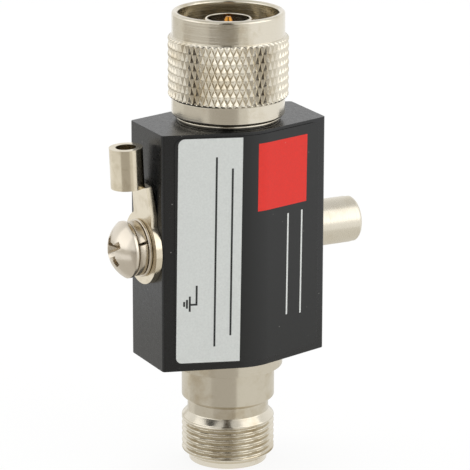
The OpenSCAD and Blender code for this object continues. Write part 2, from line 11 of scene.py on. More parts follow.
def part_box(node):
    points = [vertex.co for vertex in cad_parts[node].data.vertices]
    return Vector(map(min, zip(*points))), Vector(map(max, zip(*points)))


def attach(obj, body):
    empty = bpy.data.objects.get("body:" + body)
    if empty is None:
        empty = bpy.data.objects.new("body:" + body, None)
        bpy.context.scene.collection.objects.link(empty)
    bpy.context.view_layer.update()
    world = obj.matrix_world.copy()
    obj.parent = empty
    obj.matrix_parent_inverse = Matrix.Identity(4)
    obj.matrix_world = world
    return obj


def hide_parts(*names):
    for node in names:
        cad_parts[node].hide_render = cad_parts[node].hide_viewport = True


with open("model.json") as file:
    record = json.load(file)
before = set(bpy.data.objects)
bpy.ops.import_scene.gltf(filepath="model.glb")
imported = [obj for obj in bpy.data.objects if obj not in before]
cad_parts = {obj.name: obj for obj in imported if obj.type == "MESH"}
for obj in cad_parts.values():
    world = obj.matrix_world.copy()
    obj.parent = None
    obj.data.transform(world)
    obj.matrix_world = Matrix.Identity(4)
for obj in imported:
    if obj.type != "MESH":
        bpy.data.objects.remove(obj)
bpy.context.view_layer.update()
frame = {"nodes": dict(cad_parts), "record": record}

bl_info = {
    "name": "Coaxial Arrestor Dressing",
    "version": (1, 0, 0),
    "blender": (4, 5, 0),
    "location": "3D View > Sidebar > Arrestor",
    "description": "Plated metal, painted block and printed label of a coaxial lightning arrestor",
    "category": "Object",
}

MM = 0.001
# Points closer than this, in metres, are one
WELD = 1e-7
RECORD = frame["record"]
BODY_OF = {node: body for body, nodes in RECORD["behaviour"]["bodies"].items() for node in nodes}
MOUNTS = {mount["name"]: mount for mount in RECORD["mounts"]}

# The block's box gives the height of the two side terminals and the foot of the label's own heights
BLOCK_LOW, BLOCK_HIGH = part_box("body_block")
SIDE_HEIGHT = (BLOCK_LOW.z + BLOCK_HIGH.z) / 2

# Axes of the turned pieces: up the coaxial line, and out of the block's two sides
LINE_AXIS = Matrix.Identity(4)
CAP_AXIS = Matrix.Translation((0, 0, SIDE_HEIGHT)) @ Matrix.Rotation(math.radians(90), 4, "Y")
GROUND_AXIS = Matrix.Translation((0, 0, SIDE_HEIGHT)) @ Matrix.Rotation(math.radians(-90), 4, "Y")


def linear(hexcode):
    """An sRGB hex colour as linear RGBA."""
    channels = [int(hexcode[i:i + 2], 16) / 255 for i in (1, 3, 5)]
    return (*[c / 12.92 if c <= 0.04045 else ((c + 0.055) / 1.055) ** 2.4 for c in channels], 1.0)


def size_property(name, description, millimetres):
    return bpy.props.FloatProperty(
        name=name, description=description, default=millimetres * MM, min=0, unit="LENGTH", precision=5
    )


def angle_property(name, description, degrees):
    return bpy.props.FloatProperty(
        name=name, description=description, default=math.radians(degrees), subtype="ANGLE"
    )


def colour_property(name, description, hexcode):
    return bpy.props.FloatVectorProperty(
        name=name, description=description, default=linear(hexcode), size=4, min=0, max=1, subtype="COLOR"
    )


class ArrestorSizes(bpy.types.PropertyGroup):
    """Sizes of the small forms that the scene adds to the metal and the block."""

    metal_round: size_property("Metal edge", "Round along the edges of the turned metal", 0.12)
    sheet_round: size_property("Sheet edge", "Round along the edges of the lug and washers", 0.18)
    block_round: size_property("Block edge", "Round along the edges of the painted block", 0.22)
    film_round: size_property("Film edge", "Round along the edge of the label film", 0.05)
    line_pitch: size_property("Line thread pitch", "Pitch of nut and jack: 24 turns to the inch", 25.4 / 24)
    line_depth: size_property("Line thread depth", "Depth of the nut's and the jack's thread", 0.58)
    cap_pitch: size_property("Cap thread pitch", "Pitch of the gas tube cap's thread", 1.0)
    cap_depth: size_property("Cap thread depth", "Depth of the gas tube cap's thread", 0.5)
    cap_turn: angle_property("Cap turn", "Turn of the screwed cap's slot from upright", -18)
    screw_pitch: size_property("Screw thread pitch", "Pitch of the ground screw's thread", 0.8)
    screw_depth: size_property("Screw thread depth", "Depth of the ground screw's thread", 0.42)
    screw_radius: size_property("Screw radius", "Radius of the ground screw's thread", 2.5)
    knurl_depth: size_property("Knurl depth", "Depth of the knurled band's chamfered ends", 0.44)
    knurl_relief: size_property("Knurl relief", "Depth of the grooves between the knurl's diamonds", 0.37)
    knurl_count: bpy.props.IntProperty(
        name="Knurl diamonds", description="Diamonds round the coupling nut", default=58, min=8
    )
    knurl_rows: bpy.props.FloatProperty(
        name="Knurl rows", description="Diamonds along the coupling nut's knurled band", default=3.5, min=1
    )


class LabelSizes(bpy.types.PropertyGroup):
    """Places on the label in the front view: X from the ridge, heights from the foot of the block."""

    bleed: size_property("Bleed", "Bare film left of and above the printed panel", 0.08)
    foot: size_property("Panel foot", "Bare film below the printed panel", 0.35)
    low_corner: size_property("Panel foot corner", "Round of the pale panel's lower left corner", 0.95)
    corner: size_property("Panel top corner", "Round of the pale panel's upper left corner", 1.1)
    panel_edge: size_property("Panel edge", "Where the pale panel ends, left of the ridge", 2.8)
    red_left: size_property("Red field left", "Left edge of the red field", 0.0)
    red_right: size_property("Red field right", "Right edge of the red field", 10.6)
    red_low: size_property("Red field foot", "Lower edge of the red field", 27.36)
    red_high: size_property("Red field top", "Upper edge of the red field", 38.97)
    rule: size_property("Rule", "Width of the ruled lines", 0.32)
    ink: size_property("Ink", "How far the print stands on the film", 0.012)
    sign_low: size_property("Sign lead foot", "Height at which the earth sign's lead bends", 11.75)
    sign_high: size_property("Sign lead top", "Height at which the earth sign's lead starts", 15.05)
    sign_lead: size_property("Sign lead", "Where the earth sign's lead runs, left of the ridge", 10.0)
    sign_bars: size_property("Sign bars", "Where the longest bar stands, left of the ridge", 11.09)
    sign_step: size_property("Sign step", "Distance from bar to bar of the earth sign", 0.46)
    sign_rise: size_property("Sign rise", "How far the bars' middle lies above the bend", 0.13)
    turn: angle_property("Turn", "Clockwise turn of the print on the film", 0.75)


class ArrestorColours(bpy.types.PropertyGroup):
    """Colours of the finishes, the floor and the cards."""

    paint: colour_property("Black paint", "Satin paint of the block", "#121314")
    dust: colour_property("Dust", "Specks of dust on the paint and the film", "#8d8c88")
    bare_metal: colour_property("Bare metal", "Aluminium that shows where the paint is chipped", "#c9c8c4")
    film: colour_property("Film black", "Black print of the label", "#1b1c1c")
    panel: colour_property("Panel grey", "Pale panel of the label", "#d3d6d3")
    red: colour_property("Red print", "Red field of the label", "#e01f0c")
    ink_black: colour_property("Black ink", "Marks on the pale panel", "#242526")
    ink_white: colour_property("White ink", "Marks on the black film", "#dcdedb")
    nickel: colour_property("Nickel", "Nickel plate on turned brass", "#ddd6c6")
    nickel_stain: colour_property("Stained nickel", "Thin and stained places in the nickel", "#c3b69c")
    zinc: colour_property("Zinc", "Bright zinc of the screw and its washers", "#dcd3c4")
    tin: colour_property("Tin", "Tin plate of the lug", "#ddd3bd")
    steel: colour_property("Spring steel", "Plated spring steel", "#cbc1b0")
    # Darker than bright gold: painted shade of the hollows that the pin and the socket lie in
    gold: colour_property("Gold", "Gold plate of the contacts", "#bd8336")
    fluoropolymer: colour_property("White bead", "Fluoropolymer of the insulators", "#efeee8")
    alumina: colour_property("Alumina", "Ceramic of the gas tube", "#ece7db")
    rubber: colour_property("Rubber", "Silicone rubber of the seals", "#1d1d1e")
    floor: colour_property("Floor", "Pale studio floor", "#f2f2f0")
    dark_card: colour_property("Dark card", "Hood that facets facing the camera mirror", "#4a443d")
    dusk_card: colour_property("Dusk card", "Screen that the nut mirrors as a dark band", "#a6a29b")
    grey_card: colour_property("Grey card", "Sheet that the collar and the jack mirror", "#bdb9b2")
    # On the side ring round the foot this tone is painted shade of the floor near the object
    side_card: colour_property("Side card", "Sheet that the left sides mirror", "#cecbc5")
    # On the pale ring round the foot this tone is painted shade of the floor near the object
    pale_card: colour_property("Pale card", "Paler cards on the other sides", "#e2e0db")


class StageSettings(bpy.types.PropertyGroup):
    """The camera, as it stood for the photograph, and the lights' level."""

    camera_place: bpy.props.FloatVectorProperty(
        name="Camera", description="Place of the camera", default=(-0.21988, -0.43470, 0.18173),
        subtype="TRANSLATION", unit="LENGTH"
    )
    camera_yaw: angle_property("Yaw", "Turn of the view from +Y towards +X", 26.97)
    camera_pitch: angle_property("Pitch", "Fall of the view below the horizon", 16.24)
    camera_roll: angle_property("Roll", "Tilt of the camera about its view", 0.12)
    lens: bpy.props.FloatProperty(
        name="Lens", description="Focal length on a 36 mm sensor, in millimetres", default=228.86, min=1
    )
    light: bpy.props.FloatProperty(
        name="Light", description="Power of all softboxes, in watts", default=7.52, min=0,
        subtype="POWER"
    )


# Nearly all values of a noise lie in this range
NOISE_SPAN = (0.3, 0.7)


def add(tree, kind, inputs=(), **settings):
    """Adds a shader node with its settings, and sets or links its inputs by socket name or number."""
    node = tree.nodes.new("ShaderNode" + kind)
    for name, value in settings.items():
        setattr(node, name, value)
    for socket, value in dict(inputs).items():
        if isinstance(value, bpy.types.NodeSocket):
            tree.links.new(value, node.inputs[socket])
        else:
            node.inputs[socket].default_value = value
    return node


def combine(tree, operation, first, second):
    """The output of an operation on two numbers."""
    return add(tree, "Math", {0: first, 1: second}, operation=operation).outputs[0]


def remap(tree, value, start, end, to_start, to_end, **settings):
    """The output of a number that is mapped from one range to another and held at its ends."""
    inputs = {0: value, 1: start, 2: end, 3: to_start, 4: to_end}
    return add(tree, "MapRange", inputs, **settings).outputs[0]


def noise(tree, coords, grain_mm, detail, roughness, distortion=0.0):
    """The output of a noise whose grain has a real size."""
    inputs = {"Vector": coords, "Scale": 1 / (grain_mm * MM), "Detail": detail, "Roughness": roughness}
    return add(tree, "TexNoise", {**inputs, "Distortion": distortion}).outputs[0]


def relief(tree, height, strength, depth_mm):
    """The normal of a surface with a fine relief of a real depth."""
    inputs = {"Strength": strength, "Distance": depth_mm * MM, "Height": height}
    return add(tree, "Bump", inputs).outputs[0]


def blend_colours(tree, amount, low, high):
    """The output of a mix of two colours."""
    return add(tree, "Mix", {0: amount, 6: low, 7: high}, data_type="RGBA").outputs[2]


def grained(tree, colour, grain, dark, pale):
    """The output of a colour that varies with a noise between two shares of itself."""
    shade = remap(tree, grain, *NOISE_SPAN, dark, pale)
    return add(tree, "VectorMath", {0: colour[:3], "Scale": shade}, operation="SCALE").outputs[0]


def dust_specks(tree, coords, cell_mm, radii, chances, amount):
    """How dusty a place is: a round speck with a soft rim in some cells of a pattern of real size."""
    cells = add(tree, "TexVoronoi", {"Vector": coords, "Scale": 1 / (cell_mm * MM)}, feature="F1")
    speck = remap(tree, cells.outputs["Distance"], *radii, 1.0, 0.0)
    kept = remap(tree, cells.outputs["Color"], *chances, 0.0, amount)
    return combine(tree, "MULTIPLY", speck, kept)


def new_material(name, values):
    """An empty finish: its node tree and its shader, with the values that are the same all over."""
    material = bpy.data.materials.new(name)
    material.use_nodes = True
    tree = material.node_tree
    shader = tree.nodes["Principled BSDF"]
    for socket, value in values.items():
        shader.inputs[socket].default_value = value
    return material, tree, shader


def link_finish(tree, shader, colour, roughness, normal):
    """Links what varies over a finish to its shader."""
    tree.links.new(colour, shader.inputs["Base Color"])
    tree.links.new(roughness, shader.inputs["Roughness"])
    tree.links.new(normal, shader.inputs["Normal"])


# Turned and plated metal: rings from the lathe show through the plate, which is stained in soft clouds.
# Real tool marks are about 0.08 mm apart; they are drawn 0.15 to 0.5 mm apart so that they show.
def turned_plate(name, place, colour, stain, roughness=0.17, ring_mm=0.3, cloud_mm=5):
    material, tree, shader = new_material(name, {"Metallic": 1.0})
    axis = place.to_3x3() @ Vector((0, 0, 1))
    coords = add(tree, "TexCoord").outputs["Object"]
    offset = add(tree, "VectorMath", {0: coords, 1: place.translation}, operation="SUBTRACT").outputs[0]
    along = add(tree, "VectorMath", {0: offset, 1: axis}, operation="DOT_PRODUCT").outputs["Value"]
    aside = add(tree, "VectorMath", {0: offset, 1: axis}, operation="CROSS_PRODUCT").outputs[0]
    radius = add(tree, "VectorMath", {0: aside}, operation="LENGTH").outputs["Value"]
    ring = combine(tree, "ADD", along, radius)
    marks = add(
        tree, "TexNoise", {"W": ring, "Scale": 1 / (ring_mm * MM), "Detail": 3.0, "Roughness": 0.65},
        noise_dimensions="1D"
    ).outputs[0]
    clouds = noise(tree, coords, cloud_mm, 4.0, 0.6)
    stained = remap(tree, clouds, 0.45, 0.75, 0.0, 0.75, interpolation_type="SMOOTHSTEP")
    tone = blend_colours(tree, stained, colour, stain)
    gloss = remap(tree, marks, *NOISE_SPAN, roughness - 0.04, roughness + 0.07)
    link_finish(tree, shader, tone, gloss, relief(tree, marks, 0.35, 0.015))
    return material


# Pressed or drawn metal: bright, with fine scratches in all directions and a soft change of gloss.
def pressed_plate(name, colour, stain, roughness=0.2, scratch_mm=0.25, cloud_mm=2.5):
    material, tree, shader = new_material(name, {"Metallic": 1.0})
    coords = add(tree, "TexCoord").outputs["Object"]
    clouds = noise(tree, coords, cloud_mm, 5.0, 0.6)
    scratches = noise(tree, coords, scratch_mm, 6.0, 0.8, distortion=1.5)
    tone = blend_colours(tree, remap(tree, clouds, 0.5, 0.8, 0.0, 0.7), colour, stain)
    gloss = remap(tree, clouds, 0.3, 0.75, roughness - 0.05, roughness + 0.1)
    link_finish(tree, shader, tone, gloss, relief(tree, scratches, 0.3, 0.004))
    return material


# Satin black paint on a machined aluminium block: faint orange peel, dust, and chips along the edges.
def satin_paint(colours, peel_mm=0.7, speck_mm=1.6, chip_mm=0.9, edge_mm=0.5):
    material, tree, shader = new_material("satin_black_paint", {"Specular IOR Level": 0.5})
    coords = add(tree, "TexCoord").outputs["Object"]
    peel = noise(tree, coords, peel_mm, 3.0, 0.55)
    speckled = dust_specks(tree, coords, speck_mm, (0.05, 0.075), (0.55, 0.8), 0.8)
    rounded = add(tree, "Bevel", {"Radius": edge_mm * MM}, samples=6).outputs[0]
    face = add(tree, "NewGeometry").outputs["Normal"]
    facing = add(tree, "VectorMath", {0: rounded, 1: face}, operation="DOT_PRODUCT").outputs["Value"]
    edge = remap(tree, facing, 0.985, 0.95, 0.0, 1.0)
    chips = noise(tree, coords, chip_mm, 4.0, 0.7)
    bare = combine(tree, "MULTIPLY", edge, remap(tree, chips, 0.64, 0.68, 0.0, 1.0))
    dusty = blend_colours(tree, speckled, colours.paint, colours.dust)
    tone = blend_colours(tree, bare, dusty, colours.bare_metal)
    gloss = remap(tree, peel, *NOISE_SPAN, 0.24, 0.34)
    tree.links.new(bare, shader.inputs["Metallic"])
    link_finish(tree, shader, tone, gloss, relief(tree, peel, 0.25, 0.012))
    return material


# Printed polyester film: an even ink with a slight grain of the print, and dust where it is dark.
def printed_film(name, colour, dust, roughness=0.42, grain_mm=0.35, speck_mm=1.8, dust_amount=0.6):
    material, tree, shader = new_material(name, {"Specular IOR Level": 0.45})
    coords = add(tree, "TexCoord").outputs["Object"]
    grain = noise(tree, coords, grain_mm, 3.0, 0.6)
    even = grained(tree, colour, grain, 0.94, 1.04)
    speckled = dust_specks(tree, coords, speck_mm, (0.04, 0.065), (0.6, 0.8), dust_amount)
    tone = blend_colours(tree, speckled, even, dust)
    gloss = remap(tree, grain, *NOISE_SPAN, roughness - 0.04, roughness + 0.06)
    link_finish(tree, shader, tone, gloss, relief(tree, grain, 0.2, 0.006))
    return material


# Moulded or sintered solid: a faint grain in colour and surface, the same in all directions.
def moulded_solid(name, colour, roughness, grain_mm, depth_mm, values):
    material, tree, shader = new_material(name, values)
    coords = add(tree, "TexCoord").outputs["Object"]
    grain = noise(tree, coords, grain_mm, 4.0, 0.6)
    tone = grained(tree, colour, grain, 0.9, 1.03)
    gloss = remap(tree, grain, *NOISE_SPAN, roughness - 0.06, roughness + 0.06)
    link_finish(tree, shader, tone, gloss, relief(tree, grain, 0.3, depth_mm))
    return material


def bead_plastic(name, colours):
    """White fluoropolymer of the beads that hold the line."""
    return moulded_solid(
        name, colours.fluoropolymer, roughness=0.45, grain_mm=0.6, depth_mm=0.01,
        values={"Subsurface Weight": 0.1}
    )


def seal_rubber(name, colours):
    """Dark silicone rubber of the sealing rings and the gasket."""
    return moulded_solid(name, colours.rubber, roughness=0.62, grain_mm=0.3, depth_mm=0.015, values={})


def as_mesh(bm, name):
    """A mesh of what was made, which is freed."""
    mesh = bpy.data.meshes.new(name)
    bm.to_mesh(mesh)
    bm.free()
    return mesh


def in_scene(name, data):
    """A new object in the scene."""
    item = bpy.data.objects.new(name, data)
    bpy.context.scene.collection.objects.link(item)
    return item


def stand_for(node, mesh, material):
    """Puts a mesh in the scene as the piece that stands for a CAD node and rides on its body."""
    piece = in_scene(node + "_dressed", mesh)
    mesh.materials.append(material)
    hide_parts(node)
    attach(piece, BODY_OF[node])
    return piece


def finish_node(node, material):
    """Gives a CAD node that keeps its own shape a finish."""
    mesh = frame["nodes"][node].data
    mesh.materials.clear()
    mesh.materials.append(material)


def welded_copy(node, flat=math.radians(0.2)):
    """A node's solid as one closed mesh, with its flat faces joined up again."""
    bm = bmesh.new()
    bm.from_mesh(frame["nodes"][node].data)
    bmesh.ops.remove_doubles(bm, verts=bm.verts, dist=WELD)
    bmesh.ops.dissolve_limit(bm, angle_limit=flat, verts=bm.verts, edges=bm.edges)
    return bm


def rounded_copy(node, width, material, cut=None, clamp=True):
    """A node's own solid with its sharp edges rounded, after any cut that shapes it further.

    With clamp, all its rounds are as narrow as the shortest edge beside one of them needs.
    """
    sharp = math.radians(28)
    crease = math.radians(50)
    bm = welded_copy(node)
    weights = bm.edges.layers.float.new("bevel_weight_edge")
    for edge in bm.edges:
        edge.smooth = True
        edge[weights] = 1.0 if edge.calc_face_angle(0) > sharp else 0.0
    if cut:
        cut(bm)
        for edge in bm.edges:
            edge.smooth = bool(edge[weights]) or edge.calc_face_angle(0) < crease
    for face in bm.faces:
        face.smooth = True
    piece = stand_for(node, as_mesh(bm, node + "_dressed"), material)
    rounds = piece.modifiers.new("Edge rounds", "BEVEL")
    rounds.limit_method = "WEIGHT"
    rounds.width = width
    rounds.segments = 2
    rounds.use_clamp_overlap = clamp
    shading = piece.modifiers.new("Even shading", "WEIGHTED_NORMAL")
    shading.keep_sharp = True


def thread_depth(angle, height, low, high, pitch, crest=0.1, slope=0.72, run=0.35):
    """How deep a right-handed thread is at a point, from 0 on its crest to 1 at its root.

    It runs out at both ends, over run pitches. crest and slope are widths in half pitches.
    """
    across = abs(2 * ((height / pitch - angle / math.tau) % 1.0) - 1)
    flank = min(max((across - crest) / slope, 0.0), 1.0)
    run_out = min(max(min(height - low, high - height) / (run * pitch), 0.0), 1.0)
    return (flank * flank * (3 - 2 * flank) + flank) / 2 * run_out


def thread_cut(place, radius, low, high, pitch, depth, rows=14, near=0.02 * MM, snap=1e-8):
    """A cut that turns the part of a round wall between two heights on its axis into a thread."""
    inverse = place.inverted()
    up = place.to_3x3() @ Vector((0, 0, 1))

    def on_wall(vert):
        return abs((inverse @ vert.co).xy.length - radius) < near

    def threaded(vert):
        return on_wall(vert) and low - near < (inverse @ vert.co).z < high + near

    def cut(bm):
        for height in (low, high):
            wall = [face for face in bm.faces if all(on_wall(vert) for vert in face.verts)]
            edges = dict.fromkeys(edge for face in wall for edge in face.edges)
            verts = dict.fromkeys(vert for face in wall for vert in face.verts)
            bmesh.ops.bisect_plane(
                bm, geom=[*wall, *edges, *verts], dist=snap, plane_co=place @ Vector((0, 0, height)),
                plane_no=up
            )
        lengthwise = [
            edge for edge in bm.edges
            if edge.calc_length() > pitch and all(threaded(vert) for vert in edge.verts)
        ]
        if not lengthwise:
            raise RuntimeError(f"no round wall of radius {radius:.5f} to cut a thread in")
        cuts = round((high - low) / pitch * rows)
        bmesh.ops.subdivide_edges(bm, edges=lengthwise, cuts=cuts, use_grid_fill=True)
        for vert in [vert for vert in bm.verts if threaded(vert)]:
            local = inverse @ vert.co
            angle = math.atan2(local.y, local.x)
            inward = depth * thread_depth(angle, local.z, low, high, pitch)
            local.xy *= 1 - inward / radius
            vert.co = place @ local

    return cut


def half_section(node):
    """The closed outline, as (radius, height), of a solid that is turned about the coaxial line."""
    bm = welded_copy(node)
    everything = bm.verts[:] + bm.edges[:] + bm.faces[:]
    halved = bmesh.ops.bisect_plane(bm, geom=everything, dist=WELD, plane_co=(0, 0, 0), plane_no=(0, 1, 0))
    links = {}
    for edge in halved["geom_cut"]:
        if isinstance(edge, bmesh.types.BMEdge) and all(vert.co.x > 0 for vert in edge.verts):
            first, second = edge.verts
            links.setdefault(first, []).append(second)
            links.setdefault(second, []).append(first)
    start = min(links, key=lambda vert: (vert.co.z, vert.co.x))
    walk = [start]
    step = max(links[start], key=lambda vert: vert.co.x)
    while step is not start:
        walk.append(step)
        step = next(vert for vert in links[step] if vert is not walk[-2])
    points = [Vector((vert.co.x, vert.co.z)) for vert in walk]
    bm.free()
    return without_straight_points(points)


def without_straight_points(points, least=1e-3):
    """The corners of a closed outline, without the points that lie along its straight sides."""
    kept = []
    for i, point in enumerate(points):
        before = (point - points[i - 1]).normalized()
        after = (points[(i + 1) % len(points)] - point).normalized()
        if abs(before.x * after.y - before.y * after.x) > least:
            kept.append(point)
    return kept


def turned_mesh(name, outline, edge_round, segments, reliefs, sharp=math.radians(38)):
    """Turns a closed outline about Z with rounded corners.

    reliefs holds (stops, shape) by the number of the corner that a side starts at. The side is cut at each
    stop, from 0 at its start to 1 at its end, and its points get the radius shape(angle, height, radius).
    """
    corner_steps = (0.0, 0.33, 0.67, 1.0)
    # A ring this many rounds from each corner of a plain side keeps the rounds' shading off the rest of it
    hold = 1.2
    short_side = 2.5 * edge_round
    count = len(outline)
    rings = []
    for i, corner in enumerate(outline):
        to_last = outline[i - 1] - corner
        to_next = outline[(i + 1) % count] - corner
        reach = min(edge_round, to_last.length / 3, to_next.length / 3)
        enter = corner + to_last.normalized() * reach
        leave = corner + to_next.normalized() * reach
        for t in corner_steps:
            rings.append(((1 - t) ** 2 * enter + 2 * t * (1 - t) * corner + t ** 2 * leave, None))
        margin = edge_round / to_next.length
        held = (hold * margin, 1 - hold * margin) if to_next.length > short_side else ()
        stops, shape = reliefs.get(i, (held, None))
        rings += [(corner + t * to_next, shape) for t in stops if margin < t < 1 - margin]
    bm = bmesh.new()
    grid = []
    for point, shape in rings:
        row = []
        for j in range(segments):
            angle = math.tau * j / segments
            radius = shape(angle, point.y, point.x) if shape else point.x
            row.append(bm.verts.new((radius * math.cos(angle), radius * math.sin(angle), point.y)))
        grid.append((row, shape))
    for k, (row, shape) in enumerate(grid):
        following, next_shape = grid[(k + 1) % len(grid)]
        for j in range(segments):
            quad = row[j], row[(j + 1) % segments], following[(j + 1) % segments], following[j]
            if shape or next_shape:
                # The shared side follows the groove, which is the lower of the two diagonals
                lean = sum((v.co.xy.length * s) for v, s in zip(quad, (1, -1, 1, -1)))
                first, second = ((0, 1, 2), (0, 2, 3)) if lean < 0 else ((0, 1, 3), (1, 2, 3))
                bm.faces.new([quad[n] for n in first])
                bm.faces.new([quad[n] for n in second])
            else:
                bm.faces.new(quad)
    bmesh.ops.recalc_face_normals(bm, faces=bm.faces)
    for face in bm.faces:
        face.smooth = True
    for edge in bm.edges:
        edge.smooth = edge.calc_face_angle(0) < sharp
    return as_mesh(bm, name)


def side_near(outline, radius, height):
    """The number of the outline's upright side that passes closest to a point."""
    def miss(i):
        first, second = outline[i], outline[(i + 1) % len(outline)]
        low, high = sorted((first.y, second.y))
        outside = max(low - height, height - high, 0.0)
        return abs(first.x - radius) + abs(second.x - radius) + outside

    return min(range(len(outline)), key=miss)


def thread_rows(outline, side, pitch, rows_per_turn):
    """The two heights of an outline's side that is to be threaded, and the stops that cut it into rows."""
    heights = sorted((outline[side].y, outline[(side + 1) % len(outline)].y))
    rows = round((heights[1] - heights[0]) / pitch * rows_per_turn)
    return heights, [k / rows for k in range(rows + 1)]


class ARRESTOR_OT_block(bpy.types.Operator):
    """Paints the block and rounds its edges."""

    bl_idname = "arrestor.block"
    bl_label = "Block"

    def execute(self, context):
        sizes = context.scene.arrestor_sizes
        rounded_copy("body_block", sizes.block_round, satin_paint(context.scene.arrestor_colours))
        return {"FINISHED"}


def on_film(film, x, z, lift):
    """The point of the label's face at a place in the front view, lifted off it."""
    place, normal, _, _ = film.ray_cast(Vector((x, BLOCK_LOW.y * 2, z)), Vector((0, 1, 0)))
    if place is None:
        raise RuntimeError(f"the label has no face at x {x:.5f}, z {z:.5f}")
    return place + normal * lift


def rounded_box(x0, z0, x1, z1, radii=(0, 0, 0, 0), steps=6):
    """Corners of a rectangle, from the lower left round to the upper left, each with its own round."""
    outline = []
    turns = (math.pi, 1.5 * math.pi, 0.0, 0.5 * math.pi)
    corners = ((x0, z0, 1, 1), (x1, z0, -1, 1), (x1, z1, -1, -1), (x0, z1, 1, -1))
    for (x, z, sx, sz), radius, turn in zip(corners, radii, turns):
        if radius == 0:
            outline.append((x, z))
            continue
        for k in range(steps + 1):
            angle = turn + 0.5 * math.pi * k / steps
            outline.append((x + radius * (sx + math.cos(angle)), z + radius * (sz + math.sin(angle))))
    return outline


def print_layer(name, outlines, ink, material, slice_width=0.4 * MM, snap=1e-9):
    """Closed thin layers of ink on the label, from outlines in its front view."""
    solid = welded_copy("label")
    film = BVHTree.FromBMesh(solid)
    solid.free()
    bm = bmesh.new()
    for outline in outlines:
        bm.faces.new([bm.verts.new((x, 0, z)) for x, z in outline])
    left = min(vert.co.x for vert in bm.verts)
    right = max(vert.co.x for vert in bm.verts)
    for i in range(1, math.ceil((right - left) / slice_width)):
        everything = bm.verts[:] + bm.edges[:] + bm.faces[:]
        bmesh.ops.bisect_plane(
            bm, geom=everything, dist=snap, plane_co=(left + i * slice_width, 0, 0), plane_no=(1, 0, 0)
        )
    raised = bmesh.ops.extrude_face_region(bm, geom=bm.faces[:], use_keep_orig=True)["geom"]
    upper = {item for item in raised if isinstance(item, bmesh.types.BMVert)}
    for vert in bm.verts:
        vert.co = on_film(film, vert.co.x, vert.co.z, ink if vert in upper else -ink)
    bmesh.ops.recalc_face_normals(bm, faces=bm.faces)
    mesh = as_mesh(bm, name)
    mesh.materials.append(material)
    layer = in_scene(name, mesh)
    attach(layer, BODY_OF["label"])


# Rules up the label, in millimetres: X from the ridge, and two heights from the foot of the block
BLACK_RULES = ((-4.4, 6.1, 35.05), (-7.0, 4.25, 37.05))
WHITE_RULES = ((6.55, 8.2, 25.95), (9.65, 7.85, 26.0))
# Half the length of each bar of the earth sign, in millimetres, from the lead to the tip
BAR_REACHES = (1.33, 0.77, 0.42)


class ARRESTOR_OT_label(bpy.types.Operator):
    """Rounds the label film and prints it with a pale panel, a red field, rules and an earth sign."""

    bl_idname = "arrestor.label"
    bl_label = "Label"

    def execute(self, context):
        sizes = context.scene.arrestor_label
        colours = context.scene.arrestor_colours
        film = printed_film("black_printed_film", colours.film, colours.dust)
        rounded_copy("label", context.scene.arrestor_sizes.film_round, film)
        low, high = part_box("label")
        pivot = Vector((low.x + sizes.bleed, low.z + sizes.foot))
        turn = Matrix.Rotation(-sizes.turn, 2)

        def askew(outlines):
            return [[pivot + turn @ (Vector(point) - pivot) for point in outline] for outline in outlines]

        panel = rounded_box(
            *pivot, -sizes.panel_edge, high.z - sizes.bleed, (sizes.low_corner, 0, 0, sizes.corner)
        )
        pale = printed_film("grey_printed_film", colours.panel, colours.ink_black, dust_amount=0.15)
        print_layer("label_pale_panel", askew([panel]), sizes.ink, pale)
        foot = BLOCK_LOW.z
        field = rounded_box(sizes.red_left, foot + sizes.red_low, sizes.red_right, foot + sizes.red_high)
        red = printed_film("red_printed_film", colours.red, colours.ink_white, dust_amount=0.2)
        print_layer("label_red_field", askew([field]), sizes.ink, red)
        # Black marks lie on the pale panel, so they stand twice as high
        ink = printed_film("black_ink", colours.ink_black, colours.dust, dust_amount=0.0)
        print_layer("label_earth_sign", askew(self.earth_sign(sizes)), 2 * sizes.ink, ink)
        print_layer("label_black_rules", askew(self.rules(sizes, BLACK_RULES)), 2 * sizes.ink, ink)
        white = printed_film("white_ink", colours.ink_white, colours.dust, dust_amount=0.0)
        print_layer("label_white_rules", askew(self.rules(sizes, WHITE_RULES)), sizes.ink, white)
        return {"FINISHED"}

    @staticmethod
    def rules(sizes, places):
        """Ruled lines up the label: each at an X, between two heights, in millimetres."""
        half = sizes.rule / 2
        return [
            rounded_box(x * MM - half, BLOCK_LOW.z + low * MM, x * MM + half, BLOCK_LOW.z + high * MM)
            for x, low, high in places
        ]

    @staticmethod
    def earth_sign(sizes):
        """An earth sign that points to the ground terminal: a bent lead, and bars that shorten to a tip."""
        half = sizes.rule / 2
        bend = BLOCK_LOW.z + sizes.sign_low
        lead_x = -sizes.sign_lead
        bar_x = -sizes.sign_bars
        outlines = [
            rounded_box(lead_x - half, bend + half, lead_x + half, BLOCK_LOW.z + sizes.sign_high),
            rounded_box(bar_x + half, bend - half, lead_x + half, bend + half),
        ]
        centre = bend + sizes.sign_rise
        for number, reach in enumerate(BAR_REACHES):
            x = bar_x - number * sizes.sign_step
            outlines.append(rounded_box(x - half, centre - reach * MM, x + half, centre + reach * MM))
        return outlines


